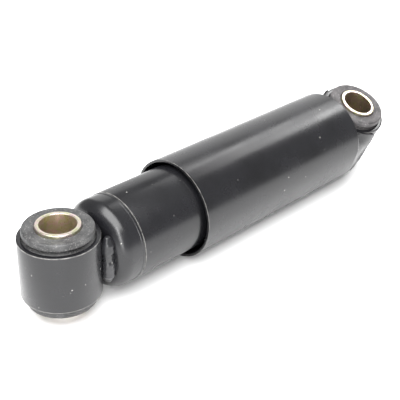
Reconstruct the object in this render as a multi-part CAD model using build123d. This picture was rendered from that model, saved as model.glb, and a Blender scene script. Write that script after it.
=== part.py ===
from build123d import *
from math import atan, degrees, radians, sqrt, tan
import os

# Twin-tube telescopic shock absorber for a trailer axle, eye to eye, with a
# sheet-steel dust cover. Millimetres. The origin is the centre of the lower
# eye, +X runs along the damper to the upper eye and +Z is the lower bolt axis.

# Lengths and travel
eye_distance = 301.8          # lower bolt axis to upper bolt axis, as pictured
compression_travel = 15.0     # from the pictured length to fully closed
extension_travel = 110.0      # from the pictured length to fully open
upper_eye_turn = 24.75        # degrees, twist of the upper eye about +X

# Clearances
running_clearance = 0.05      # radial, between pieces that turn or slide
end_clearance = 0.3           # axial, between pieces that turn or slide
stop_clearance = 1.0          # left between two pieces at either end of travel

# Eyes: steel ring, rubber bush, plated inner sleeve
bolt_bore_d = 24.0
sleeve_d = 29.3
sleeve_length = 58.7
sleeve_chamfer = 0.6
eye_ring_d = 53.3
eye_ring_wall = 3.1
eye_ring_length = 41.8
eye_ring_chamfer = 0.6
bush_height = 27.8            # half height of the rubber, at its flange face
bush_flange_d = 46.8          # rubber flange outside the ring
bush_lip_height = 2.6         # gap between the ring's end and the flange lip
bush_groove_depth = 2.6       # groove under the flange lip
bush_edge = 1.6               # rounding of the flange's outer edge

# Reservoir tube and base cap
reservoir_d = 63.2
reservoir_wall = 2.0
reservoir_start = 45.55       # visible end edge of the tube, over the base cap
cap_face = 25.8               # outer face of the base cap
cap_floor = 4.7
cap_wall = 3.4
cap_shoulder = 10.0           # radius of the rounded shoulder
cap_joggle = 0.3              # how far its outside lies below the tube's
cap_inside_radius = 3.0
cap_insert = 14.0             # how far the skirt reaches into the tube
tube_lip = 3.2                # lip rolled inwards over the closing plate
tube_lip_thickness = 2.0
eye_bead_leg = 14.2            # weld bead between the lower ring and the cap

# Pressure tube and base valve
pressure_bore_d = 45.0
pressure_wall = 2.0
valve_foot_height = 7.5       # foot of the base valve on the cap's floor
valve_foot_wall = 3.0
valve_foot_slots = 4
valve_foot_slot_width = 9.0
valve_plate_thickness = 6.0
valve_spigot_height = 5.0
valve_port_d = 4.0
valve_port_count = 8
valve_inner_port_d = 3.0
valve_inner_port_count = 4
disc_stack_thickness = 1.8
bolt_shank_d = 8.0
bolt_head_d = 14.0
bolt_head_height = 3.0
check_plate_thickness = 1.0
check_plate_lift = 1.2
check_spring_thickness = 0.5
spring_rim = 2.0              # solid rim of a star spring, at its inner edge
spring_slot = 2.2
spring_fingers = 8
spring_rest_gap = 0.05

# Rod, piston and stops
rod_d = 20.0
rod_spigot_d = 14.0
piston_length = 16.0
piston_gap = 0.3              # radial, piston skirt to the pressure tube
piston_hub_d = 24.0
band_width = 10.0
band_thickness = 1.9
disc_d = 30.0
stop_washer_d = 24.0
stop_washer_thickness = 2.5
washer_neck = 2.0             # wall of the washer's neck, inside the check plate
piston_nut_d = 24.0           # across the flats
piston_nut_height = 8.0
rod_thread_end = 2.0          # rod end that stands out of the nut
rebound_stop_d = 34.0
rebound_stop_thickness = 3.5
bumper_d = 33.0
bumper_thickness = 5.0

# Rod guide, seal and closing plate
guide_spigot_length = 8.0
guide_flange_thickness = 9.0
guide_bush_wall = 1.5
guide_bush_length = 14.0
guide_return_port_d = 4.0
guide_return_port_count = 3
seal_recess_d = 34.0
seal_recess_depth = 4.0
seal_height = 6.5
seal_lip_wall = 2.6
spring_wire_d = 1.5
o_ring_d = 2.4
closing_plate_thickness = 3.0
wiper_d = 35.0
wiper_height = 2.0

# Dust cover, its mounting plate and the upper eye
cover_gap = 3.43              # radial, between the cover and the reservoir tube
cover_wall = 1.75
cover_mouth = 98.85           # open end of the cover
mount_plate_thickness = 6.0
notch_start = 273.0           # end edge of the cover beside the ring's faces
finger_bend = 275.0           # where the two fingers start to lean inwards
finger_meet = 299.0           # where they reach the ring's flanks
finger_tip = 304.0
finger_tip_lean = 3.0         # how much shorter its upper corner is
finger_root_half = 31.0       # half height of a finger at its root
finger_upper_half = 20.6      # its upper edge, just below the ring's end
finger_lower_half = 28.0      # its lower edge
finger_spread = 7.2           # how much taller than round the pressed end is
finger_waist = 14.0           # from the notch to where a finger's edges straighten
finger_corner = 3.0
rod_bead = 4.0
finger_bead = 2.4

# Radii and places that follow from the sizes above
sleeve_r = sleeve_d / 2
ring_r = eye_ring_d / 2
ring_bore_r = ring_r - eye_ring_wall
tube_r = reservoir_d / 2
tube_bore_r = tube_r - reservoir_wall
cap_r = tube_r - cap_joggle
pressure_bore_r = pressure_bore_d / 2
pressure_r = pressure_bore_r + pressure_wall
rod_r = rod_d / 2
spigot_r = rod_spigot_d / 2
cover_bore_r = tube_r + cover_gap
cover_r = cover_bore_r + cover_wall
cap_inside = cap_face + cap_floor
cap_end = reservoir_start + cap_insert
valve_plate_start = cap_inside + valve_foot_height
pressure_start = valve_plate_start + valve_plate_thickness
valve_top = pressure_start + valve_spigot_height
base_bolt_top = (valve_top + check_plate_thickness + check_plate_lift
                 + check_spring_thickness + end_clearance + bolt_head_height)

# The piston stack is placed so that its nut just clears the base valve when
# the damper is closed, and the bumper meets the rod guide when it is open.
nut_start = base_bolt_top + compression_travel + stop_clearance + rod_thread_end
discs_start = nut_start + piston_nut_height
piston_start = discs_start + disc_stack_thickness
piston_end = piston_start + piston_length
piston_check_height = (check_plate_thickness + check_plate_lift
                       + check_spring_thickness + end_clearance)
washer_start = piston_end + piston_check_height
stop_start = washer_start + stop_washer_thickness
bumper_start = stop_start + rebound_stop_thickness
bumper_end = bumper_start + bumper_thickness
guide_start = bumper_end + extension_travel + stop_clearance
guide_shoulder = guide_start + guide_spigot_length
guide_end = guide_shoulder + guide_flange_thickness
closing_end = guide_end + closing_plate_thickness
barrel_end = closing_end + tube_lip_thickness
plate_start = (max(barrel_end, closing_end + wiper_height)
               + compression_travel + stop_clearance)
plate_end = plate_start + mount_plate_thickness

lower_eye = Location((0, 0, 0))
upper_eye = Location((eye_distance, 0, 0)) * Rot(X=upper_eye_turn)
damper_turn = Rot(X=upper_eye_turn)


def turned(points):
    """A piece turned about the damper's axis from (x, radius) points."""
    profile = make_face(Polyline(*points, close=True))
    return revolve(profile, Axis.X)


def collar(start, end, inner_r, outer_r):
    """A plain ring about the damper's axis."""
    return turned([(start, inner_r), (end, inner_r), (end, outer_r), (start, outer_r)])


def drilled(start, end, radius, circle_r, count, first=0.0):
    """Holes parallel to the damper's axis, on a circle."""
    hole = Pos(start, circle_r, 0) * Rot(Y=90) * Cylinder(
        radius, end - start, align=(Align.CENTER, Align.CENTER, Align.MIN)
    )
    return [Rot(X=first + 360 * i / count) * hole for i in range(count)]


def eye_tube(inner_r, outer_r, length, chamfer_size):
    """A tube about the bolt axis with chamfered ends."""
    blank = Cylinder(outer_r, length) - Cylinder(inner_r, length)
    outer_ends = blank.edges().filter_by(GeomType.CIRCLE).group_by(SortBy.RADIUS)[-1]
    return chamfer(outer_ends, chamfer_size)


def eye_bush():
    """The rubber between ring and sleeve, with a flange beyond either ring end."""
    inner = sleeve_r + running_clearance
    half_ring = eye_ring_length / 2
    flange = bush_flange_d / 2
    lip = half_ring + bush_lip_height
    groove = ring_bore_r - bush_groove_depth
    half = [
        (inner, 0),
        (ring_bore_r, 0),
        (ring_bore_r, half_ring - 1.2 * bush_edge),
        (groove, half_ring),
        (groove, lip - 0.8),
        (flange - bush_edge, lip - 0.4),
        (flange, lip + 0.5),
        (flange - 0.3, bush_height - bush_edge),
        (flange - bush_edge, bush_height),
        (inner + 1.2, bush_height),
        (inner, bush_height - 1.2),
    ]
    profile = make_face(Plane.XZ * Polyline(*half, close=True))
    top = revolve(profile, Axis.Z)
    return top + mirror(top, Plane.XY)


def check_plate(start, inner_r, outer_r):
    """A flat non-return plate about the damper's axis."""
    return collar(start, start + check_plate_thickness, inner_r, outer_r)


def star_spring(plate_top, inner_r, outer_r):
    """A dished spring whose eight fingers rest on a check plate."""
    tip = plate_top + spring_rest_gap
    seat = plate_top + check_plate_lift + end_clearance
    disc = turned([
        (seat, inner_r),
        (seat, inner_r + spring_rim),
        (tip, outer_r),
        (tip + check_spring_thickness, outer_r),
        (seat + check_spring_thickness, inner_r + spring_rim),
        (seat + check_spring_thickness, inner_r),
    ])
    slot_inner = inner_r + spring_rim + 0.5
    slot = Pos(seat, 0, (slot_inner + outer_r + 1) / 2) * Box(
        4 * (check_plate_lift + check_spring_thickness), spring_slot, outer_r + 1 - slot_inner
    )
    return disc - [Rot(X=360 * i / spring_fingers) * slot for i in range(spring_fingers)]


# Lower eye
eye_ring = eye_tube(ring_bore_r, ring_r, eye_ring_length, eye_ring_chamfer)
eye_sleeve = eye_tube(bolt_bore_d / 2, sleeve_r, sleeve_length, sleeve_chamfer)
bush = eye_bush()
lower_eye_ring = lower_eye * eye_ring
lower_eye_sleeve = lower_eye * eye_sleeve
lower_bush = lower_eye * bush

# Base cap: a pressed cup, its face coped to the ring that is welded to it, its
# skirt stepped down to go into the tube
cap_section = make_face(
    Polyline(
        (cap_face, 0),
        (cap_face, cap_r),
        (reservoir_start - running_clearance, cap_r),
        (reservoir_start - running_clearance, tube_bore_r),
        (cap_end, tube_bore_r),
        (cap_end, tube_bore_r - cap_wall),
        (cap_inside, tube_bore_r - cap_wall),
        (cap_inside, 0),
        close=True,
    )
)
shoulder_corner = cap_section.vertices().sort_by_distance((cap_face, cap_r, 0))[0]
cap_section = fillet(shoulder_corner, cap_shoulder)
inside_corner = cap_section.vertices().sort_by_distance(
    (cap_inside, tube_bore_r - cap_wall, 0)
)[0]
cap_section = fillet(inside_corner, cap_inside_radius)
base_cap = revolve(cap_section, Axis.X) - Cylinder(ring_r, 4 * tube_r)

# Weld beads along both sides of the ring, where the cap's face meets it
contact = sqrt(ring_r**2 - cap_face**2)
bead_end = contact + eye_bead_leg
bead_on_ring = sqrt(ring_r**2 - bead_end**2) - 0.6
bead_root = cap_face + 0.9 * cap_floor
bead_section = make_face(
    Polyline(
        (bead_root, contact),
        (bead_root, bead_end + 0.8),
        (bead_on_ring, bead_end - 0.6),
        (bead_on_ring - 1, contact),
        close=True,
    )
)
bead = Pos(0, 0, -eye_ring_length / 2 + 1) * extrude(bead_section, eye_ring_length - 2)
bead = bead - Cylinder(ring_r, 2 * eye_ring_length) - base_cap
lower_eye_weld = Compound([bead, mirror(bead, Plane.XZ)])

# Reservoir tube, rolled over the closing plate at the top
reservoir_tube = turned([
    (reservoir_start, tube_bore_r),
    (closing_end, tube_bore_r),
    (closing_end, tube_bore_r - tube_lip),
    (barrel_end, tube_bore_r - tube_lip),
    (barrel_end, tube_r - 1.2),
    (barrel_end - 1.2, tube_r),
    (reservoir_start, tube_r),
])

# Base valve: a footed body that carries the pressure tube
foot_r = pressure_r
base_valve_body = turned([
    (cap_inside, foot_r - valve_foot_wall),
    (valve_plate_start, foot_r - valve_foot_wall),
    (valve_plate_start, bolt_shank_d / 2),
    (valve_top, bolt_shank_d / 2),
    (valve_top, pressure_bore_r),
    (pressure_start, pressure_bore_r),
    (pressure_start, foot_r),
    (cap_inside + cap_inside_radius / 2, foot_r),
    (cap_inside, foot_r - cap_inside_radius / 2),
])
foot_slot = Pos(cap_inside, 0, foot_r) * Box(
    valve_foot_height, valve_foot_slot_width, 4 * valve_foot_wall
)
base_valve_body -= [
    Rot(X=45 + 360 * i / valve_foot_slots) * foot_slot for i in range(valve_foot_slots)
]
outer_port_circle = pressure_bore_r - valve_foot_wall - valve_port_d / 2
inner_port_circle = bolt_head_d / 2 + valve_inner_port_d / 2 - 0.5
base_valve_body -= drilled(
    valve_plate_start - 1, valve_top + 1, valve_port_d / 2, outer_port_circle, valve_port_count
)
base_valve_body -= drilled(
    valve_plate_start - 1, valve_top + 1, valve_inner_port_d / 2,
    inner_port_circle, valve_inner_port_count, 45,
)
seat_inner_r = inner_port_circle + valve_inner_port_d / 2 + 0.8
seat_outer_r = pressure_bore_r - running_clearance - 1.0
guide_collar_r = bolt_shank_d / 2 + 1.5

# Disc stack under the body closes the inner ports, a riveted bolt holds it
base_valve_discs = turned([
    (valve_plate_start - disc_stack_thickness, bolt_shank_d / 2),
    (valve_plate_start, bolt_shank_d / 2),
    (valve_plate_start, inner_port_circle + valve_inner_port_d / 2 + 0.8),
    (valve_plate_start - disc_stack_thickness / 2, inner_port_circle + valve_inner_port_d / 2 + 0.8),
    (valve_plate_start - disc_stack_thickness / 2, bolt_head_d / 2),
    (valve_plate_start - disc_stack_thickness, bolt_head_d / 2),
])
spring_seat = valve_top + check_plate_thickness + check_plate_lift + end_clearance
base_valve_bolt = turned([
    (valve_plate_start - disc_stack_thickness - bolt_head_height, 0),
    (base_bolt_top, 0),
    (base_bolt_top, bolt_head_d / 2 - 1),
    (spring_seat + check_spring_thickness, bolt_head_d / 2),
    (spring_seat + check_spring_thickness, bolt_shank_d / 2),
    (valve_plate_start - disc_stack_thickness, bolt_shank_d / 2),
    (valve_plate_start - disc_stack_thickness, bolt_head_d / 2),
    (valve_plate_start - disc_stack_thickness - bolt_head_height, bolt_head_d / 2),
])
base_spring_collar = collar(valve_top, spring_seat, bolt_shank_d / 2, guide_collar_r)
base_valve_spring = star_spring(
    valve_top + check_plate_thickness, bolt_shank_d / 2, seat_outer_r - 2
)
base_valve_body = base_valve_body + base_spring_collar
base_intake_plate = check_plate(valve_top, seat_inner_r, seat_outer_r)

pressure_tube = collar(pressure_start, guide_shoulder, pressure_bore_r, pressure_r)

# Piston rod, its lower end reduced to carry the piston stack
rod_end = eye_distance - sqrt(ring_r**2 - rod_r**2) + 0.5
rod_blank = turned([
    (nut_start - rod_thread_end, 0),
    (rod_end + 2, 0),
    (rod_end + 2, rod_r),
    (stop_start, rod_r),
    (stop_start, spigot_r),
    (nut_start - rod_thread_end / 2, spigot_r),
    (nut_start - rod_thread_end, spigot_r - rod_thread_end / 2),
])
upper_ring_envelope = upper_eye * Cylinder(ring_r, 4 * tube_r)
piston_rod = rod_blank - upper_ring_envelope

# Piston with ports and a groove for its band
piston_r = pressure_bore_r - piston_gap
groove_r = pressure_bore_r - running_clearance - band_thickness - running_clearance
groove_start = piston_start + (piston_length - band_width) / 2 - end_clearance
groove_end = groove_start + band_width + 2 * end_clearance
piston = turned([
    (piston_start, spigot_r),
    (piston_end, spigot_r),
    (piston_end, piston_r - 0.8),
    (piston_end - 0.8, piston_r),
    (groove_end, piston_r),
    (groove_end, groove_r),
    (groove_start, groove_r),
    (groove_start, piston_r),
    (piston_start + 0.8, piston_r),
    (piston_start, piston_r - 0.8),
])
piston_inner_circle = piston_hub_d / 2
piston_outer_circle = piston_hub_d / 2 + valve_port_d + 1
piston -= drilled(
    piston_start - 1, piston_end + 1, valve_inner_port_d / 2, piston_inner_circle, 6
)
piston -= drilled(
    piston_start - 1, piston_end + 1, valve_inner_port_d / 2, piston_outer_circle, 6, 30
)
piston_band = collar(
    groove_start + end_clearance,
    groove_end - end_clearance,
    groove_r + running_clearance,
    pressure_bore_r - running_clearance,
)
rebound_discs = turned([
    (discs_start, spigot_r),
    (piston_start, spigot_r),
    (piston_start, disc_d / 2),
    (discs_start + disc_stack_thickness / 2, disc_d / 2),
    (discs_start + disc_stack_thickness / 2, piston_nut_d / 2 - 1),
    (discs_start, piston_nut_d / 2 - 1),
])
nut_blank = Plane.YZ.offset(nut_start) * extrude(
    RegularPolygon(piston_nut_d / 2, 6, major_radius=False), piston_nut_height
)
nut_cone = turned([
    (nut_start, 0),
    (discs_start, 0),
    (discs_start, piston_nut_d),
    (nut_start + 6, piston_nut_d),
    (nut_start, piston_nut_d / 2 - 0.5),
])
piston_nut = (nut_blank & nut_cone) - collar(nut_start - 1, discs_start + 1, 0, spigot_r)
piston_check_inner = piston_outer_circle - valve_inner_port_d / 2 - 0.8
piston_check_outer = piston_outer_circle + valve_inner_port_d / 2 + 0.8
piston_intake_plate = check_plate(piston_end, piston_check_inner, piston_check_outer)
piston_valve_spring = star_spring(
    piston_end + check_plate_thickness, spigot_r + washer_neck, piston_check_outer
)
piston_stop_washer = turned([
    (piston_end, spigot_r),
    (stop_start, spigot_r),
    (stop_start, stop_washer_d / 2),
    (washer_start, stop_washer_d / 2),
    (washer_start, spigot_r + washer_neck),
    (piston_end, spigot_r + washer_neck),
])

rebound_stop = collar(stop_start, bumper_start, rod_r, rebound_stop_d / 2)
rebound_bumper = turned([
    (bumper_start, rod_r),
    (bumper_end, rod_r),
    (bumper_end, bumper_d / 2 - 2),
    (bumper_end - 2, bumper_d / 2),
    (bumper_start, bumper_d / 2),
])

# Rod guide with its bush, seal, wiper and closing plate
guide_bore_r = rod_r + running_clearance + guide_bush_wall
seal_floor = guide_end - seal_recess_depth
bush_start = seal_floor - guide_bush_length
groove_centre = (guide_shoulder + guide_end) / 2 + 1
guide_points = [
    (guide_start, guide_bore_r),
    (seal_floor, guide_bore_r),
    (seal_floor, seal_recess_d / 2),
    (guide_end, seal_recess_d / 2),
    (guide_end, tube_bore_r),
    (groove_centre + o_ring_d / 2, tube_bore_r),
    (groove_centre + o_ring_d / 2, tube_bore_r - o_ring_d),
    (groove_centre - o_ring_d / 2, tube_bore_r - o_ring_d),
    (groove_centre - o_ring_d / 2, tube_bore_r),
    (guide_shoulder, tube_bore_r),
    (guide_shoulder, pressure_bore_r),
    (guide_start, pressure_bore_r),
]
rod_guide = turned(guide_points)
return_circle = (pressure_r + tube_bore_r - o_ring_d) / 2
rod_guide -= drilled(
    guide_shoulder - 1, guide_end + 1, guide_return_port_d / 4, return_circle,
    guide_return_port_count, 30,
)
rod_guide_bush = collar(bush_start, seal_floor, rod_r + running_clearance, guide_bore_r)
guide_seal_ring = revolve(
    Pos(groove_centre, tube_bore_r - o_ring_d / 2) * Circle(o_ring_d / 2), Axis.X
)
lip_r = rod_r + running_clearance
spring_r = lip_r + seal_lip_wall
rod_seal = turned([
    (seal_floor, lip_r + 1),
    (seal_floor + 1, lip_r),
    (seal_floor + seal_height, lip_r),
    (seal_floor + seal_height, spring_r),
    (guide_end, spring_r),
    (guide_end, seal_recess_d / 2),
    (seal_floor, seal_recess_d / 2),
])
seal_spring_x = guide_end + spring_wire_d / 2 + 0.2
seal_spring = revolve(
    Pos(seal_spring_x, spring_r + spring_wire_d / 2) * Circle(spring_wire_d / 2), Axis.X
)
plate_bore_r = spring_r + spring_wire_d + 0.4
closing_plate = collar(guide_end, closing_end, plate_bore_r, tube_bore_r)
rod_wiper = turned([
    (closing_end, lip_r + 1),
    (closing_end + 0.4 * wiper_height, lip_r + 1),
    (closing_end + wiper_height, lip_r),
    (closing_end + wiper_height, lip_r + 1.5),
    (closing_end + 0.6 * wiper_height, wiper_d / 2),
    (closing_end, wiper_d / 2),
])

# Mounting plate that carries the cover on the rod
mount_plate = collar(plate_start, plate_end, rod_r, cover_bore_r)
rod_weld = turned([
    (plate_end, rod_r),
    (plate_end, rod_r + rod_bead),
    (plate_end + 0.7 * rod_bead, rod_r + 0.5 * rod_bead),
    (plate_end + rod_bead, rod_r),
])
upper_eye_weld = (
    turned([
        (eye_distance - ring_r - 1.5, rod_r),
        (eye_distance - ring_r - 0.5, rod_r + 1.5),
        (eye_distance - ring_r + 3.6, rod_r + rod_bead),
        (rod_end + 2, rod_r + rod_bead),
        (rod_end + 2, rod_r),
    ])
    - upper_ring_envelope
    - collar(plate_start, rod_end + 3, 0, rod_r)
)

# Dust cover: a tube whose end is notched beside the ring's two faces, which
# leaves two fingers that lean inwards and lie against the ring's flanks
lean = (cover_r - ring_r - cover_wall) / (finger_meet - finger_bend)
reach = 2 * cover_r


def pressed_space(inset):
    """The space between the two pressed flanks, inset by the sheet's wall."""
    start = finger_bend - 1 / lean
    meet_y = ring_r + cover_wall - inset
    half = [
        (cover_mouth - 10, 0),
        (cover_mouth - 10, cover_r + 1 - inset),
        (start, cover_r + 1 - inset),
        (finger_meet, meet_y),
        (finger_tip + 10, meet_y),
        (finger_tip + 10, 0),
    ]
    side = make_face(Polyline(*half, close=True))
    bends = side.vertices().sort_by_distance((finger_meet, meet_y, 0))[0]
    side = fillet(bends, 12 if inset == 0 else 12 + cover_wall)
    slab = Pos(0, 0, -reach) * extrude(side, 2 * reach)
    return slab + mirror(slab, Plane.XZ)


def cover_form(start, end, radius):
    """The space within the cover: round, then drawn out to an oval at the fingers."""
    spread = finger_spread * (end - finger_bend) / (finger_tip - finger_bend)
    oval = Plane.YZ.offset(end) * Ellipse(radius, radius + spread)
    drawn = loft([Plane.YZ.offset(finger_bend) * Circle(radius), oval])
    return collar(start, finger_bend, 0, radius) + drawn


cover_outside = cover_form(cover_mouth, finger_tip, cover_r) & pressed_space(0)
cover_inside = cover_form(cover_mouth - 5, finger_tip + 5, cover_bore_r) & pressed_space(cover_wall)
side_outline = make_face(
    Plane.XZ
    * Polyline(
        (cover_mouth - 5, -reach),
        (notch_start, -reach),
        (notch_start, -finger_root_half),
        (notch_start + finger_waist, -finger_lower_half),
        (finger_tip, -finger_lower_half),
        (finger_tip - finger_tip_lean, finger_upper_half),
        (notch_start + finger_waist, finger_upper_half + finger_corner / 2),
        (notch_start, finger_root_half),
        (notch_start, reach),
        (cover_mouth - 5, reach),
        close=True,
    )
)
roots = side_outline.vertices().sort_by_distance((notch_start, 0, finger_root_half))[0]
side_outline = fillet(roots, finger_corner)
lower_tip = side_outline.vertices().sort_by_distance((finger_tip, 0, -finger_lower_half))[0]
side_outline = fillet(lower_tip, 2 * finger_corner)
side_keep = Pos(0, reach, 0) * extrude(side_outline, 2 * reach)
dust_cover = damper_turn * ((cover_outside - cover_inside) & side_keep)

# Beads that join each finger's tip to the ring's flank
tip_slope = finger_tip_lean / (finger_upper_half + finger_lower_half)
tip_middle = finger_tip - finger_lower_half * tip_slope
tip_bead = (
    Pos(tip_middle, ring_r + cover_wall / 3, 0)
    * Rot(0, -degrees(atan(tip_slope)), 0)
    * Cylinder(finger_bead / 2, eye_ring_length - 2 * finger_corner)
)
tip_bead = tip_bead - Pos(eye_distance, 0, 0) * Cylinder(ring_r, 2 * eye_ring_length)
tip_bead = tip_bead - ((cover_outside - cover_inside) & side_keep)
finger_welds = damper_turn * Compound([tip_bead, mirror(tip_bead, Plane.XZ)])

# Upper eye
upper_eye_ring = upper_eye * eye_ring
upper_eye_sleeve = upper_eye * eye_sleeve
upper_bush = upper_eye * bush

pieces = {
    "lower_eye_ring": lower_eye_ring,
    "lower_bush": lower_bush,
    "lower_eye_sleeve": lower_eye_sleeve,
    "lower_eye_weld": lower_eye_weld,
    "base_cap": base_cap,
    "reservoir_tube": reservoir_tube,
    "base_valve_body": base_valve_body,
    "base_valve_discs": base_valve_discs,
    "base_valve_bolt": base_valve_bolt,
    "base_valve_spring": base_valve_spring,
    "base_intake_plate": base_intake_plate,
    "pressure_tube": pressure_tube,
    "rod_guide": rod_guide,
    "rod_guide_bush": rod_guide_bush,
    "guide_seal_ring": guide_seal_ring,
    "rod_seal": rod_seal,
    "seal_spring": seal_spring,
    "closing_plate": closing_plate,
    "rod_wiper": rod_wiper,
    "piston_band": piston_band,
    "piston_rod": piston_rod,
    "piston": piston,
    "rebound_discs": rebound_discs,
    "piston_nut": piston_nut,
    "piston_intake_plate": piston_intake_plate,
    "piston_valve_spring": piston_valve_spring,
    "piston_stop_washer": piston_stop_washer,
    "rebound_stop": rebound_stop,
    "rebound_bumper": rebound_bumper,
    "mount_plate": mount_plate,
    "rod_weld": rod_weld,
    "dust_cover": dust_cover,
    "finger_welds": finger_welds,
    "upper_eye_weld": upper_eye_weld,
    "upper_eye_ring": upper_eye_ring,
    "upper_bush": upper_bush,
    "upper_eye_sleeve": upper_eye_sleeve,
}

os.makedirs("parts", exist_ok=True)
for name, piece in pieces.items():
    export_step(piece, f"parts/{name}.step")

print("barrel end", round(barrel_end, 2), "mounting plate", round(plate_start, 2), round(plate_end, 2))
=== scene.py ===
import math

import bpy
from mathutils import Matrix, Vector, noise


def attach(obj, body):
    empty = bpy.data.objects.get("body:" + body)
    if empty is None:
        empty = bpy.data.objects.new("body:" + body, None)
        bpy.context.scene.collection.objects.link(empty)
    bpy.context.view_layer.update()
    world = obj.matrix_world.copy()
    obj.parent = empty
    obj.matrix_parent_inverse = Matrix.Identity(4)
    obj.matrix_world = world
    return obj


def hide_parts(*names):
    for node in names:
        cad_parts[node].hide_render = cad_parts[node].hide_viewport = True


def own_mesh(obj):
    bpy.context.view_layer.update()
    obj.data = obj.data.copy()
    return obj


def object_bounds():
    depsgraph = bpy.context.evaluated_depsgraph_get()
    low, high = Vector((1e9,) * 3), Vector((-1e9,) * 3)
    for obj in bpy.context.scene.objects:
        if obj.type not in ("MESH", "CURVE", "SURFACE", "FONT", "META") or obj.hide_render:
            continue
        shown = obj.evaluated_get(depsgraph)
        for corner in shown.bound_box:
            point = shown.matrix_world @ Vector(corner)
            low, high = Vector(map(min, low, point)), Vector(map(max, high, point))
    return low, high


# Shock absorber: black enamelled steel, rubber bushes, yellow-passivated sleeves.
# Metres. The origin is the lower eye's centre, +X runs to the upper eye.

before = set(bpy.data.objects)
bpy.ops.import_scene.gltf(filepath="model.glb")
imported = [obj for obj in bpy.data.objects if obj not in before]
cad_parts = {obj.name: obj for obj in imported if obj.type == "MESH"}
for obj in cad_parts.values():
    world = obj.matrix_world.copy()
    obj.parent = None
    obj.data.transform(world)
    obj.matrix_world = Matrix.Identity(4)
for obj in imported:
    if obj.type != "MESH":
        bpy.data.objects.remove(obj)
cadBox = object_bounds()
mm = 0.001
mergeDistance = 1e-6
alongX, alongZ = (1, 0, 0), (0, 0, 1)


def deselectAll():
    if bpy.context.object and bpy.context.object.mode != "OBJECT":
        bpy.ops.object.mode_set(mode="OBJECT")
    bpy.ops.object.select_all(action="DESELECT")


def pick(piece):
    deselectAll()
    piece.select_set(True)
    bpy.context.view_layer.objects.active = piece


def editWhole(piece):
    pick(piece)
    bpy.ops.object.mode_set(mode="EDIT")
    bpy.ops.mesh.select_all(action="SELECT")


def mergeDoubles():
    bpy.ops.mesh.select_all(action="SELECT")
    bpy.ops.mesh.remove_doubles(threshold=mergeDistance)


def applyModifier(piece, kind, **settings):
    pick(piece)
    mod = piece.modifiers.new(kind.title(), kind)
    for key, value in settings.items():
        setattr(mod, key, value)
    bpy.ops.object.modifier_apply(modifier=mod.name)


def settle(piece):
    # place, turn and scale go into the mesh
    pick(piece)
    bpy.ops.object.transform_apply(location=True, rotation=True, scale=True)


def lathe(name, points, axis, steps, closed=True):
    # one vertex is extruded round the outline, then spun about the piece's axis
    deselectAll()
    points = [Vector(p) for p in points]
    bpy.ops.mesh.primitive_plane_add(size=0.5 * mm, location=points[0])
    piece = bpy.context.object
    piece.name = name
    settle(piece)
    editWhole(piece)
    bpy.ops.mesh.merge(type="CENTER")
    path = points + [points[0]] if closed else points
    for last, point in zip(path, path[1:]):
        bpy.ops.mesh.extrude_region_move(TRANSFORM_OT_translate={"value": point - last})
    mergeDoubles()
    bpy.ops.mesh.select_all(action="SELECT")
    bpy.ops.mesh.spin(steps=steps, angle=math.tau, center=(0, 0, 0), axis=axis)
    mergeDoubles()
    bpy.ops.mesh.normals_make_consistent(inside=False)
    bpy.ops.object.mode_set(mode="OBJECT")
    return piece


def smoothEdges(piece, degrees):
    pick(piece)
    bpy.ops.object.shade_smooth_by_angle(angle=math.radians(degrees))


def roundEdges(piece, width, segments=3, degrees=28):
    applyModifier(piece, "BEVEL", width=width, segments=segments, limit_method="ANGLE",
                  angle_limit=math.radians(degrees))
    smoothEdges(piece, degrees)


def aboutX(pairs):
    return [(x, 0, r) for x, r in pairs]


def aboutZ(pairs):
    return [(r, 0, z) for r, z in pairs]


def arc(centre, radius, start, end, count):
    cx, cy = centre
    out = []
    for i in range(count + 1):
        a = math.radians(start + (end - start) * i / count)
        out.append((cx + radius * math.cos(a), cy + radius * math.sin(a)))
    return out


def finish(piece, mat):
    piece.data.materials.clear()
    piece.data.materials.append(mat)


def carry(piece, body, mat, slotName, *nodes):
    finish(piece, mat)
    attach(piece, body)
    if nodes:
        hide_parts(*nodes)


# Materials

def linear(code):
    parts = [int(code[i:i + 2], 16) / 255 for i in (1, 3, 5)]
    curved = [p / 12.92 if p <= 0.04045 else ((p + 0.055) / 1.055) ** 2.4 for p in parts]
    return (*curved, 1.0)


def perMetre(sizeMm):
    # a pattern's scale from the size of one cell in millimetres
    return 1000 / sizeMm


def setInputs(tree, node, inputs):
    # an input takes a value, or the output that it is linked to
    for key, value in inputs.items():
        if isinstance(value, bpy.types.NodeSocket):
            tree.links.new(value, node.inputs[key])
        else:
            node.inputs[key].default_value = value


def addNode(tree, kind, inputs=None, stops=(), **settings):
    # stops are a ramp's places, each with its colour or grey
    node = tree.nodes.new(kind)
    for key, value in settings.items():
        setattr(node, key, value)
    setInputs(tree, node, inputs or {})
    for spare in range(len(stops) - 2):
        node.color_ramp.elements.new(0.5)
    for i, (place, shade) in enumerate(stops):
        element = node.color_ramp.elements[i]
        element.position = place
        element.color = shade if isinstance(shade, tuple) else (shade, shade, shade, 1)
    return node


def newMaterial(name):
    mat = bpy.data.materials.new(name)
    mat.use_nodes = True
    tree = mat.node_tree
    shader = tree.nodes["Principled BSDF"]
    coords = tree.nodes.new("ShaderNodeTexCoord").outputs["Object"]
    return mat, tree, shader, coords


enamelLook = {
    "peel": 1.2,                # cells of the patterns, in millimetres
    "sheen": 28,
    "nibCell": 5.0,
    "scuffAndHighlightNoise": 3.5,
    "nibFaint": 0.22,           # share of the cells with a nib at all, and with a whole one
    "nibWhole": 0.05,
    "nibRadii": (0.05, 0.13),   # where a nib begins to fade and ends, in cells
    "nibShare": 0.75,
    "nibTone": "#b9b7b2",
    "driftTone": "#17171a",
    # the edge band's pale grey: scuffed paint, and a painted highlight
    "scuffAndHighlightShare": 0.5,
    "scuffAndHighlightTone": "#a3a19d",
    "rough": (0.22, 0.30),
}


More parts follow.
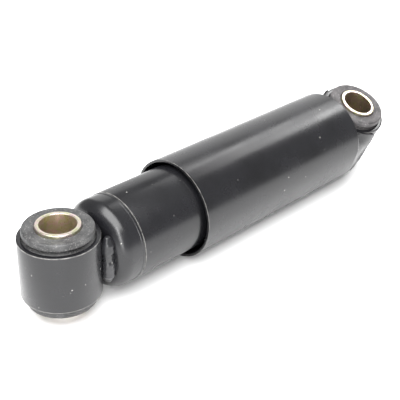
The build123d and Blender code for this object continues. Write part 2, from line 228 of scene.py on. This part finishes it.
def stoveEnamel(name="stoveEnamel", tone="#101012", specks=1.0, scuffAndHighlight=None):
    # Black stoved enamel on drawn steel: semi-gloss, a faint orange peel, dust
    # nibs that show pale and are drawn coarser than real ones so that they
    # show, a slightly uneven sheen where it was handled, and one edge band
    # painted pale grey, partly scuffed through to the steel and partly a painted
    # highlight for the light that the edge catches; the band is given by its
    # axis, its place along that axis and its width.
    look = enamelLook
    mat, tree, shader, coords = newMaterial(name)
    peel = addNode(tree, "ShaderNodeTexNoise",
                   {"Scale": perMetre(look["peel"]), "Detail": 2.0, "Vector": coords})
    sheen = addNode(tree, "ShaderNodeTexNoise",
                    {"Scale": perMetre(look["sheen"]), "Detail": 5.0, "Vector": coords})
    cells = addNode(tree, "ShaderNodeTexVoronoi",
                    {"Scale": perMetre(look["nibCell"]), "Vector": coords})
    chance = addNode(tree, "ShaderNodeSeparateColor", {"Color": cells.outputs["Color"]})
    rare = addNode(tree, "ShaderNodeValToRGB", {"Fac": chance.outputs["Red"]},
                   [(1 - look["nibFaint"] * specks, 0.0), (1 - look["nibWhole"] * specks, 1.0)])
    fade, edge = look["nibRadii"]
    dot = addNode(tree, "ShaderNodeValToRGB", {"Fac": cells.outputs["Distance"]},
                  [(fade, 1.0), (edge, 0.0)])
    nib = addNode(tree, "ShaderNodeMath", {0: rare.outputs["Color"], 1: dot.outputs["Color"]},
                  operation="MULTIPLY")
    softNib = addNode(tree, "ShaderNodeMath", {0: nib.outputs[0], 1: look["nibShare"]},
                      operation="MULTIPLY")
    drift = addNode(tree, "ShaderNodeValToRGB", {"Fac": sheen.outputs["Fac"]},
                    [(0.35, linear(tone)), (0.70, linear(look["driftTone"]))])
    colour = addNode(tree, "ShaderNodeMix", {
        "Factor": softNib.outputs[0], "A": drift.outputs["Color"], "B": linear(look["nibTone"]),
    }, data_type="RGBA")
    # a pale band at one edge, broken into patches: scuffed paint, and a painted highlight for the
    # light the edge catches
    if scuffAndHighlight:
        axis, place, width = scuffAndHighlight
        along = addNode(tree, "ShaderNodeVectorMath", {0: coords, 1: axis},
                        operation="DOT_PRODUCT")
        along = addNode(tree, "ShaderNodeMath", {0: along.outputs["Value"]},
                        operation="ABSOLUTE")
        off = addNode(tree, "ShaderNodeMath", {0: along.outputs[0], 1: place},
                      operation="SUBTRACT")
        off = addNode(tree, "ShaderNodeMath", {0: off.outputs[0]}, operation="ABSOLUTE")
        band = addNode(tree, "ShaderNodeMapRange", {
            "Value": off.outputs[0], "From Min": 0.5 * width, "From Max": width,
            "To Min": look["scuffAndHighlightShare"], "To Max": 0.0,
        })
        scuffAndHighlightNoise = addNode(tree, "ShaderNodeTexNoise",
                        {"Scale": perMetre(look["scuffAndHighlightNoise"]), "Detail": 6.0, "Vector": coords})
        patches = addNode(tree, "ShaderNodeValToRGB", {"Fac": scuffAndHighlightNoise.outputs["Fac"]},
                          [(0.30, 0.2), (0.62, 1.0)])
        scuffAndHighlightMask = addNode(tree, "ShaderNodeMath",
                       {0: band.outputs["Result"], 1: patches.outputs["Color"]},
                       operation="MULTIPLY")
        colour = addNode(tree, "ShaderNodeMix", {
            "Factor": scuffAndHighlightMask.outputs[0], "A": colour.outputs["Result"],
            "B": linear(look["scuffAndHighlightTone"]),
        }, data_type="RGBA")
    smooth, dull = look["rough"]
    rough = addNode(tree, "ShaderNodeMapRange", {
        "Value": sheen.outputs["Fac"], "From Min": 0.3, "From Max": 0.7,
        "To Min": smooth, "To Max": dull,
    })
    peelBump = addNode(tree, "ShaderNodeBump",
                       {"Strength": 0.10, "Distance": 0.1 * mm, "Height": peel.outputs["Fac"]})
    nibBump = addNode(tree, "ShaderNodeBump", {
        "Strength": 0.6, "Distance": 0.1 * mm, "Height": nib.outputs[0],
        "Normal": peelBump.outputs["Normal"],
    })
    setInputs(tree, shader, {
        "Base Color": colour.outputs["Result"], "Roughness": rough.outputs["Result"],
        "Normal": nibBump.outputs["Normal"], "IOR": 1.5,
    })
    return mat


def mouldedRubber(name, tone, pale, dust):
    # Moulded black natural rubber: matte, fine-grained, with pale mould dust.
    # The seals' nitrile and the piston band's filled plastic differ in tone.
    mat, tree, shader, coords = newMaterial(name)
    grain = addNode(tree, "ShaderNodeTexNoise",
                    {"Scale": perMetre(0.9), "Detail": 6.0, "Vector": coords})
    cloud = addNode(tree, "ShaderNodeTexNoise",
                    {"Scale": perMetre(9), "Detail": 4.0, "Vector": coords})
    mottled = addNode(tree, "ShaderNodeValToRGB", {"Fac": cloud.outputs["Fac"]},
                      [(0.35, linear(tone)), (0.75, linear(pale))])
    dusty = addNode(tree, "ShaderNodeValToRGB", {"Fac": grain.outputs["Fac"]},
                    [(0.58, 0.0), (0.72, 0.8)])
    colour = addNode(tree, "ShaderNodeMix", {
        "Factor": dusty.outputs["Color"], "A": mottled.outputs["Color"], "B": linear(dust),
    }, data_type="RGBA")
    bump = addNode(tree, "ShaderNodeBump",
                   {"Strength": 0.45, "Distance": 0.2 * mm, "Height": grain.outputs["Fac"]})
    setInputs(tree, shader, {
        "Base Color": colour.outputs["Result"], "Normal": bump.outputs["Normal"],
        "Roughness": 0.52, "IOR": 1.52,
    })
    return mat


def yellowZinc(name, tones):
    # Zinc plate with yellow passivation: a gold metal whose thin film turns
    # pink and green in patches a few millimetres wide.
    mat, tree, shader, coords = newMaterial(name)
    film = addNode(tree, "ShaderNodeTexNoise", {
        "Scale": perMetre(6), "Detail": 3.0, "Distortion": 0.8, "Vector": coords,
    })
    places = (0.30, 0.45, 0.58, 0.72)
    colour = addNode(tree, "ShaderNodeValToRGB", {"Fac": film.outputs["Fac"]},
                     [(place, linear(tone)) for place, tone in zip(places, tones)])
    lines = addNode(tree, "ShaderNodeTexNoise",
                    {"Scale": perMetre(0.7), "Detail": 3.0, "Vector": coords})
    rough = addNode(tree, "ShaderNodeMapRange",
                    {"Value": lines.outputs["Fac"], "To Min": 0.22, "To Max": 0.36})
    bump = addNode(tree, "ShaderNodeBump",
                   {"Strength": 0.12, "Distance": 0.1 * mm, "Height": lines.outputs["Fac"]})
    setInputs(tree, shader, {
        "Base Color": colour.outputs["Color"], "Roughness": rough.outputs["Result"],
        "Normal": bump.outputs["Normal"], "Metallic": 1.0,
    })
    return mat


def plainMetal(name, light, dark, rough, grainMm):
    # Bare inner steel, bronze or chrome: two close tones in a fine grain.
    mat, tree, shader, coords = newMaterial(name)
    grain = addNode(tree, "ShaderNodeTexNoise",
                    {"Scale": perMetre(grainMm), "Detail": 4.0, "Vector": coords})
    colour = addNode(tree, "ShaderNodeValToRGB", {"Fac": grain.outputs["Fac"]},
                     [(0.35, linear(dark)), (0.65, linear(light))])
    bump = addNode(tree, "ShaderNodeBump",
                   {"Strength": 0.1, "Distance": 0.1 * mm, "Height": grain.outputs["Fac"]})
    setInputs(tree, shader, {
        "Base Color": colour.outputs["Color"], "Normal": bump.outputs["Normal"],
        "Metallic": 1.0, "Roughness": rough,
    })
    return mat


enamel = stoveEnamel()
# the welds' enamel is drawn paler than the rest: dust, and a painted highlight for the glints on
# the bead's lumps
weldEnamelDustAndHighlight = stoveEnamel("weldEnamelDustAndHighlight", "#2b2b2d", 1.6)
sealRubber = mouldedRubber("nitrileRubber", "#19191a", "#242425", "#2c2c2c")
filledPlastic = mouldedRubber("filledPtfe", "#6a604d", "#74694f", "#857a66")
chrome = plainMetal("hardChrome", "#d9dadb", "#cfd0d2", 0.12, 3.0)
drawnSteel = plainMetal("drawnSteel", "#a9a9aa", "#8d8d8f", 0.38, 1.5)
springSteel = plainMetal("springSteel", "#8e9095", "#75777c", 0.30, 2.0)
sintered = plainMetal("sinteredSteel", "#77777a", "#57575a", 0.60, 0.5)
bronze = plainMetal("leadedBronze", "#b98d58", "#96703f", 0.42, 1.0)

# Eyes

eyes = {
    "distance": 301.8 * mm,
    "upperTurn": 24.75,       # degrees about +X
    "boreRadius": 12.0 * mm,
    "sleeveRadius": 14.65 * mm,
    "sleeveHalf": 29.35 * mm,
    "ringRadius": 26.65 * mm,
    "ringBore": 23.55 * mm,
    "ringHalf": 20.9 * mm,
    "rounding": 0.4 * mm,
}

bushForm = {
    "half": 27.8 * mm,
    "flange": 23.4 * mm,
    "lipHeight": 23.5 * mm,
    "groove": 20.95 * mm,
    "grooveRun": 2.0 * mm,    # from here inside the ring its bore leads to the groove
    "ringGap": 0.02 * mm,
    "sleeveGap": 0.05 * mm,
    "undercut": [(1.4, 0.4), (0.9, 0.55)],      # millimetres in and down or up from the lip
    "lipRadius": 0.9 * mm,
    "rimRadius": 1.6 * mm,
    "rimDraft": 0.15 * mm,
    "face": [(20.0, 0.35), (18.0, 0.55), (16.4, 0.35)],     # radius and dip, millimetres
}


def turnByEye(piece, place=0):
    # the cover and the upper eye are turned about the damper's axis
    piece.rotation_mode = "XYZ"
    piece.rotation_euler = (math.radians(eyes["upperTurn"]), 0, 0)
    piece.location = (place, 0, 0)
    settle(piece)


def makeTube(name, bore, radius, half, steps):
    tube = lathe(name, aboutZ([(bore, -half), (radius, -half), (radius, half), (bore, half)]),
                 alongZ, steps)
    roundEdges(tube, eyes["rounding"])
    return tube


def makeBush(name):
    form = bushForm
    inner = eyes["sleeveRadius"] + form["sleeveGap"]
    outer = eyes["ringBore"] - form["ringGap"]
    top, flange, lip = form["half"], form["flange"], form["lipHeight"]
    (cutIn, cutDown), (lipIn, lipUp) = form["undercut"]
    half = [
        (outer, 0), (outer, eyes["ringHalf"] - form["grooveRun"]),
        (form["groove"], eyes["ringHalf"]), (form["groove"], lip - 2 * cutDown * mm),
        (flange - cutIn * mm, lip - cutDown * mm),
    ]
    half += arc((flange - lipIn * mm, lip + lipUp * mm), form["lipRadius"], -80, 0, 4)
    half += [(flange - form["rimDraft"], top - 2.0 * mm)]
    half += arc((flange - form["rimDraft"] - form["rimRadius"], top - form["rimRadius"]),
                form["rimRadius"], 15, 90, 6)
    # the face dips a little between the rim and the sleeve
    half += [(radius * mm, top - dip * mm) for radius, dip in form["face"]]
    half += [(inner + 0.9 * mm, top - 0.1 * mm), (inner, top - 0.9 * mm)]
    lower = [(r, -z) for r, z in reversed(half) if z > 0]
    bush = lathe(name, aboutZ(half + lower), alongZ, 144)
    smoothEdges(bush, 40)
    return bush


eyeLean = math.radians(eyes["upperTurn"])
# each side's bodies, bolt axis, specks, rubber and film; the upper sleeve's zinc
# is a darker copy, painted shade for its shaded bore and its brightly lit end
# face, and the upper rubber is a paler copy, painted light for its brighter face
eyeSides = {
    "lower": ("barrel", "lower_sleeve", alongZ, 1.6,
              ("mouldedRubber", "#262627", "#4c4c4c", "#8f8d8a"),
              ("yellowZinc", ("#d6d6aa", "#e3ddc8", "#ecd6d6", "#d8d8ac"))),
    "upper": ("rod", "upper_sleeve", (0, -math.sin(eyeLean), math.cos(eyeLean)), 1.0,
              ("litUpperRubber", "#2d2b2c", "#545152", "#989493"),
              ("shadedUpperZinc", ("#b6b68a", "#c1bca2", "#ccb8b6", "#b8b88a"))),
}
for side, (body, sleeveBody, boltAxis, specks, rubberTones, film) in eyeSides.items():
    ring = makeTube(side + "EyeRing", eyes["ringBore"], eyes["ringRadius"], eyes["ringHalf"], 144)
    sleeve = makeTube(side + "EyeSleeve", eyes["boreRadius"], eyes["sleeveRadius"],
                      eyes["sleeveHalf"], 96)
    bush = makeBush(side + "Bush")
    if side == "upper":
        for piece in (ring, sleeve, bush):
            turnByEye(piece, eyes["distance"])
    # the ring's end edges are painted pale: partly scuffed paint, partly a painted highlight for
    # the light on the rim and end face
    scuffAndHighlight = (boltAxis, eyes["ringHalf"] - 0.45 * mm, 0.4 * mm)
    ringEnamel = stoveEnamel(side + "RingEnamel", "#141416", specks, scuffAndHighlight)
    carry(ring, body, ringEnamel, "black_enamel", side + "_eye_ring")
    carry(bush, body, mouldedRubber(*rubberTones), "bush_rubber", side + "_bush")
    carry(sleeve, sleeveBody, yellowZinc(*film), "yellow_zinc", side + "_eye_sleeve")
print("eyes made")

# Base cap and reservoir tube

barrel = {
    "tubeRadius": 31.6 * mm,
    "tubeBore": 29.6 * mm,
    "tubeStart": 45.55 * mm,
    "tubeEnd": 245.8 * mm,
    "lipBore": 26.4 * mm,
    "lip": 2.0 * mm,
    "lipRound": 1.2 * mm,
    "capFace": 25.8 * mm,
    "capInside": 30.5 * mm,
    "capRadius": 31.3 * mm,
    "capBand": 43.3 * mm,     # from here the cap stands level with the tube
    "capSkirt": 59.5 * mm,
    "capBore": 26.2 * mm,
    "capCorner": 3 * mm,
    "shoulder": 10.0 * mm,
    "seamGap": 0.05 * mm,
}


def capOutline():
    b = barrel
    shoulder = (b["capFace"] + b["shoulder"], b["capRadius"] - b["shoulder"])
    band = b["tubeRadius"] - b["seamGap"]
    seam = b["tubeStart"] - b["seamGap"]
    return [
        (b["capInside"], 0), (b["capFace"], 0), *arc(shoulder, b["shoulder"], 180, 90, 12),
        (b["capBand"], b["capRadius"]), (b["capBand"] + 0.3 * mm, band),
        (b["tubeStart"] - 0.5 * mm, band),
        (b["tubeStart"] - 0.25 * mm, b["capRadius"] - 0.1 * mm),
        (seam, b["capRadius"] - 0.4 * mm), (seam, b["tubeBore"]),
        (b["capSkirt"], b["tubeBore"]), (b["capSkirt"], b["capBore"]),
        (b["capInside"] + b["capCorner"], b["capBore"]),
        (b["capInside"], b["capBore"] - b["capCorner"]),
    ]


def tubeOutline():
    b = barrel
    lipStart = b["tubeEnd"] - b["lip"]
    return [
        (b["tubeStart"], b["tubeBore"]), (lipStart, b["tubeBore"]), (lipStart, b["lipBore"]),
        (b["tubeEnd"], b["lipBore"]), (b["tubeEnd"], b["tubeRadius"] - b["lipRound"]),
        (b["tubeEnd"] - b["lipRound"], b["tubeRadius"]), (b["tubeStart"], b["tubeRadius"]),
    ]


baseCap = lathe("baseCap", aboutX(capOutline()), alongX, 144)
smoothEdges(baseCap, 35)
carry(baseCap, "barrel", enamel, "black_enamel", "base_cap")

tube = lathe("reservoirTube", aboutX(tubeOutline()), alongX, 180)
roundEdges(tube, 0.35 * mm)
# a thin pale line at the tube's end edge by the seam: partly scuffed paint, partly a painted
# highlight
tubeSeamScuffAndHighlight = (alongX, barrel["tubeStart"] + 0.1 * mm, 0.35 * mm)
tubeEnamel = stoveEnamel("tubeEnamel", specks=0.6, scuffAndHighlight=tubeSeamScuffAndHighlight)
carry(tube, "barrel", tubeEnamel, "black_enamel", "reservoir_tube")
print("barrel made")

# Weld beads: a rippled bead along each side of the lower ring, and one at each
# finger's tip

beads = {
    "sides": 20,
    "slice": 0.5 * mm,
    "ripple": 4.6 * mm,
    "swell": 0.06,            # a ripple's height, as a share of the radius
    "rough": 0.26,
    "wander": 0.5 * mm,
    "taper": 1.6,             # length of a bead's tapered ends, in radii
    "blunt": 0.35,
}
eyeBead = {
    "parts": ("beadLeft", "beadRight"),
    "seeds": (1.3, 7.9),
    "lowX": 24.0 * mm,
    "highX": 24.0 * mm,
    "y": 18.6 * mm,
    "low": -16.5 * mm,
    "high": 18.0 * mm,
    "radius": 4.7 * mm,
}
tipBead = {
    "parts": ("tipLeft", "tipRight"),
    "seeds": (4.1, 9.4),
    "lowX": 303.5 * mm,
    "highX": 301.2 * mm,
    "y": 27.4 * mm,
    "low": -18 * mm,
    "high": 17 * mm,
    "radius": 1.1 * mm,
}


def makeBead(name, start, end, radius, seed):
    deselectAll()
    length = (end - start).length
    bpy.ops.mesh.primitive_cylinder_add(vertices=beads["sides"], radius=radius, depth=length,
                                        location=(0, 0, 0))
    bead = bpy.context.object
    bead.name = name
    editWhole(bead)
    bpy.ops.mesh.bisect(plane_co=(0, 0, 0), plane_no=alongZ)
    count = max(8, int(length / beads["slice"]))
    for i in range(1, count):
        bpy.ops.mesh.select_all(action="SELECT")
        cut = (0, 0, -length / 2 + length * i / count)
        bpy.ops.mesh.bisect(plane_co=cut, plane_no=alongZ)
    bpy.ops.object.mode_set(mode="OBJECT")
    for vertex in bead.data.vertices:
        x, y, z = vertex.co
        wave = abs(math.sin(math.pi * z / beads["ripple"]))
        swell = 1 + beads["swell"] * (wave - 0.5)
        lump = noise.noise(Vector((z * 150 + seed, x * 190, y * 190))) * beads["rough"]
        ends = min(1.0, (length / 2 - abs(z)) / (beads["taper"] * radius) + beads["blunt"])
        wander = noise.noise(Vector((z * 90 + seed, 3.7, seed))) * beads["wander"]
        vertex.co.x = x * (swell + lump) * ends + wander
        vertex.co.y = y * (swell + lump) * ends + wander
    bead.rotation_mode = "QUATERNION"
    bead.rotation_quaternion = Vector(alongZ).rotation_difference((end - start).normalized())
    bead.location = (start + end) / 2
    settle(bead)
    smoothEdges(bead, 60)
    return bead


def makeBeadPair(name, form):
    pair = []
    for part, seed, side in zip(form["parts"], form["seeds"], (-1, 1)):
        start = Vector((form["lowX"], side * form["y"], form["low"]))
        end = Vector((form["highX"], side * form["y"], form["high"]))
        pair.append(makeBead(part, start, end, form["radius"], seed))
    deselectAll()
    for bead in pair:
        bead.select_set(True)
    bpy.context.view_layer.objects.active = pair[0]
    bpy.ops.object.join()
    pair[0].name = name
    return pair[0]


lowerWeld = makeBeadPair("lowerEyeWeld", eyeBead)
carry(lowerWeld, "barrel", weldEnamelDustAndHighlight, "black_enamel", "lower_eye_weld")

fingerWeld = makeBeadPair("fingerWelds", tipBead)
turnByEye(fingerWeld)
carry(fingerWeld, "rod", weldEnamelDustAndHighlight, "black_enamel", "finger_welds")
print("welds made")

# Dust cover: a tube whose far end is drawn out and pressed in code, so that
# the two fingers run smoothly out of the round

cover = {
    "radius": 36.78 * mm,
    "wall": 1.75 * mm,
    "ringGap": 0.03 * mm,
    "mouth": 98.85 * mm,
    "notch": 273.4 * mm,
    "bend": 268.5 * mm,       # the flanks lean in from here
    "lowBend": 12.0 * mm,     # how much later they do so low down and high up
    "highBend": 5 * mm,
    "lowZone": (2 * mm, 20 * mm),
    "highZone": (3 * mm, 19 * mm),
    "meet": 300.0 * mm,
    "hug": 283.5 * mm,        # near its upper edge a flank is pressed to the ring here
    "ease": 0.22,             # share of the slope that is rounded at either end
    "tip": 304.0 * mm,
    "tipLean": 3.0 * mm,
    "lowCorner": 6.0 * mm,
    "highCorner": 4.5 * mm,
    "low": 27.5 * mm,         # a finger's edges, along the sheet from its middle
    "high": 19.8 * mm,
    "root": 36.0 * mm,
    "lowSweep": 2.5,          # how suddenly an edge leaves the notch
    "highSweep": 7,
    "plainRows": [140 * mm, 180 * mm, 220 * mm, 248 * mm, 256 * mm],
    "fineFrom": 262 * mm,
    "fineRows": 36,
    "steps": 360,
}


def smoothStep(value, low, high):
    share = max(0, min(1, (value - low) / (high - low)))
    return share * share * (3 - 2 * share)


def rampStep(value, low, high, ease):
    # a straight slope with a short round at either end
    share = max(0, min(1, (value - low) / (high - low)))
    if share < ease:
        part = share * share / (2 * ease)
    elif share > 1 - ease:
        part = 1 - ease - (1 - share) ** 2 / (2 * ease)
    else:
        part = share - ease / 2
    return part / (1 - ease)


def rootEdge(over, edge, corner, sweep):
    # past a finger's edge the sheet's end sweeps back to the notch
    c = cover
    share = min(1, over / (c["root"] - edge))
    return c["notch"] + (corner - c["notch"]) * (1 - share) ** sweep


def cornerEdge(start, radius, over):
    return start + math.sqrt(max(0, radius ** 2 - over ** 2))


def fingerEnd(along):
    # where the sheet ends, by the way along it from the finger's middle
    c = cover
    tip = c["tip"] - c["tipLean"] * (along + c["low"]) / (c["high"] + c["low"])
    lowStart, highStart = tip - c["lowCorner"], tip - c["highCorner"]
    if along > c["high"]:
        return rootEdge(along - c["high"], c["high"], highStart, c["highSweep"])
    if along > c["high"] - c["highCorner"]:
        return cornerEdge(highStart, c["highCorner"], along - c["high"] + c["highCorner"])
    if along >= c["lowCorner"] - c["low"]:
        return tip
    if along >= -c["low"]:
        return cornerEdge(lowStart, c["lowCorner"], c["lowCorner"] - c["low"] - along)
    return rootEdge(-c["low"] - along, c["low"], lowStart, c["lowSweep"])


def pressedPoint(x, along):
    # the sheet keeps its length: its curve opens until it lies flat on the
    # ring, and near the upper edge it is dented in to hug the ring's round
    c = cover
    flat = eyes["ringRadius"] + c["wall"] + c["ringGap"]
    hugging = math.sqrt(max(0, flat ** 2 - max(0, eyes["distance"] - x) ** 2))
    high = smoothStep(along, *c["highZone"])
    start = c["bend"] + c["lowBend"] * smoothStep(-along, *c["lowZone"]) + c["highBend"] * high
    share = rampStep(x, start, c["meet"] + (c["hug"] - c["meet"]) * high, c["ease"])
    reach = flat + (hugging - flat) * high
    middle = c["radius"] - (c["radius"] - reach) * share
    bow = max(1e-6, (1 - share) / c["radius"])
    return middle - (1 - math.cos(bow * along)) / bow, math.sin(bow * along) / bow


def makeCover(name):
    c = cover
    fineLength = c["notch"] - c["fineFrom"]
    rows = [c["mouth"], c["mouth"] + 1.2 * mm, *c["plainRows"]]
    rows += [c["fineFrom"] + fineLength * i / c["fineRows"] for i in range(c["fineRows"] + 1)]
    piece = lathe(name, aboutX([(x, c["radius"]) for x in rows]), alongX, c["steps"], closed=False)
    for vertex in piece.data.vertices:
        p = vertex.co
        along = c["radius"] * math.atan2(p.z, abs(p.y))
        if p.x > c["fineFrom"] - 0.01 * mm:
            stretch = (fingerEnd(along) - c["fineFrom"]) / fineLength
            p.x = c["fineFrom"] + (p.x - c["fineFrom"]) * stretch
        out, up = pressedPoint(p.x, along)
        p.y, p.z = math.copysign(out, p.y), up
    editWhole(piece)
    bpy.ops.mesh.normals_make_consistent(inside=False)
    bpy.ops.object.mode_set(mode="OBJECT")
    applyModifier(piece, "SOLIDIFY", thickness=c["wall"], offset=-1.0, use_even_offset=True)
    roundEdges(piece, 0.25 * mm, 2, 50)
    turnByEye(piece)
    return piece


dustCover = makeCover("dustCover")
# a thin pale line round the cover's mouth rim: partly chipped paint, partly a painted highlight
coverMouthScuffAndHighlight = (alongX, cover["mouth"] + 0.3 * mm, 0.28 * mm)
coverEnamel = stoveEnamel("coverEnamel", specks=0.3, scuffAndHighlight=coverMouthScuffAndHighlight)
carry(dustCover, "rod", coverEnamel, "black_enamel", "dust_cover")
print("dust cover made")

# Inner pieces keep their solids and get their own finishes

innerFinishes = [
    (enamel, ["mount_plate"]),
    (weldEnamelDustAndHighlight, ["rod_weld", "upper_eye_weld"]),
    (chrome, ["piston_rod"]),
    (drawnSteel, ["pressure_tube", "closing_plate", "base_valve_bolt", "piston_nut",
                  "piston_stop_washer", "rebound_stop"]),
    (sintered, ["base_valve_body", "piston", "rod_guide"]),
    (springSteel, ["base_valve_discs", "base_intake_plate", "rebound_discs",
                   "piston_intake_plate", "seal_spring"]),
    (bronze, ["rod_guide_bush"]),
    (filledPlastic, ["piston_band"]),
    (sealRubber, ["guide_seal_ring", "rod_seal", "rod_wiper", "rebound_bumper"]),
]
for mat, nodes in innerFinishes:
    for node in nodes:
        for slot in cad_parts[node].material_slots:
            slot.material = mat
print("inner finishes set")

# The two star springs: copies of their solids, merged into one surface and smoothly shaded

starSprings = {
    "lift": 1.2 * mm,
    "base_valve_spring": ("baseStarSpring", "barrel", "base_check_lift", 52.0 * mm),
    "piston_valve_spring": ("pistonStarSpring", "rod", "piston_check_lift", 101.8 * mm),
}
for node in ("base_valve_spring", "piston_valve_spring"):
    name, body, joint, fixedEnd = starSprings[node]
    spring = bpy.data.objects.new(name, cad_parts[node].data.copy())
    bpy.context.collection.objects.link(spring)
    pick(spring)
    bpy.ops.mesh.customdata_custom_splitnormals_clear()
    editWhole(spring)
    mergeDoubles()
    bpy.ops.object.mode_set(mode="OBJECT")
    smoothEdges(spring, 30)
    carry(spring, body, springSteel, "spring_steel", node)
    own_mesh(spring)
print("star springs made")

# Camera, at the photograph's angle

camera = {
    "place": (-0.2649, -0.3749, 0.3140),
    "right": (0.7028, -0.7108, 0.0291),
    "down": (-0.3422, -0.3736, -0.8622),
    "lens": 76.95,
    "sensor": 36,
}
right = Vector(camera["right"]).normalized()
up = -Vector(camera["down"])
up = (up - up.dot(right) * right).normalized()
turn = Matrix((right, up, right.cross(up))).transposed()
bpy.ops.object.camera_add()
cam = bpy.context.object
cam.matrix_world = Matrix.Translation(camera["place"]) @ turn.to_4x4()
cam.data.lens = camera["lens"]
cam.data.sensor_width = camera["sensor"]
cam.data.clip_start = 10 * mm
bpy.context.scene.camera = cam

# Floor and light: a white sweep, a pale room and softboxes, given by their
# place, target, size and watts

studio = {
    "floorSize": 8,
    "floorMiddle": (0.15, 0),
    "reflected": 0.42,
    "fill": 0.6,
}
softboxes = {
    # overhead, for the floor and the upper edges
    "topSoftbox": ((-0.45, -0.35, 1.45), (-0.45, -0.35, 0), (1.5, 1.9), 75),
    # by the camera, for the rims
    "frontSoftbox": ((-0.80, -0.95, 0.56), (0.05, 0, 0), (0.3, 1.2), 13.5),
    # behind, for the cover's long highlight
    "backSoftbox": ((1.06, 0.09, 0.85), (0.18, 0, 0), (0.56, 0.36), 3.0),
    # beside, for the flanks
    "sideSoftbox": ((1.25, 1.25, 0.55), (0.1, 0, 0), (1.4, 1.1), 4.8),
    # two small ones, for the upper ring and for the tube
    "rimSoftbox": ((0.95, -0.02, 0.57), (0.30, 0, 0.02), (0.16, 0.12), 0.7),
    "tubeSoftbox": ((0.72, 0.31, 0.85), (0.08, 0, 0.03), (0.34, 0.3), 0.7),
}

deselectAll()
bpy.ops.mesh.primitive_plane_add(size=studio["floorSize"],
                                 location=(*studio["floorMiddle"], cadBox[0][2]))
floor = bpy.context.object
floor.name = "studioFloor"
paper, tree, shader, coords = newMaterial("paperSweep")
fibres = addNode(tree, "ShaderNodeTexNoise", {"Scale": perMetre(60), "Vector": coords})
shade = addNode(tree, "ShaderNodeValToRGB", {"Fac": fibres.outputs["Fac"]},
                [(0.3, linear("#f3f3f3")), (0.7, linear("#f7f7f7"))])
setInputs(tree, shader, {"Base Color": shade.outputs["Color"], "Roughness": 0.9})
finish(floor, paper)

# The room is dim where the enamel mirrors it; the camera itself sees white
world = bpy.data.worlds.new("paleRoom")
world.use_nodes = True
bpy.context.scene.world = world
tree = world.node_tree
tree.nodes.clear()
path = addNode(tree, "ShaderNodeLightPath")
glossy = addNode(tree, "ShaderNodeMix", {
    "Factor": path.outputs["Is Glossy Ray"], "A": studio["fill"], "B": studio["reflected"],
})
strength = addNode(tree, "ShaderNodeMix", {
    "Factor": path.outputs["Is Camera Ray"], "A": glossy.outputs["Result"], "B": 1.0,
})
room = addNode(tree, "ShaderNodeBackground",
               {"Color": (1, 1, 1, 1), "Strength": strength.outputs["Result"]})
addNode(tree, "ShaderNodeOutputWorld", {"Surface": room.outputs["Background"]})

for name, (place, target, size, watts) in softboxes.items():
    deselectAll()
    bpy.ops.object.light_add(type="AREA", location=place)
    lamp = bpy.context.object
    lamp.name = name
    lamp.data.shape = "RECTANGLE"
    lamp.data.size, lamp.data.size_y = size
    lamp.data.energy = watts
    aim = Vector(target) - Vector(place)
    lamp.rotation_euler = aim.to_track_quat("-Z", "Y").to_euler()

bpy.context.scene.view_settings.view_transform = "Standard"

print("scene ready")
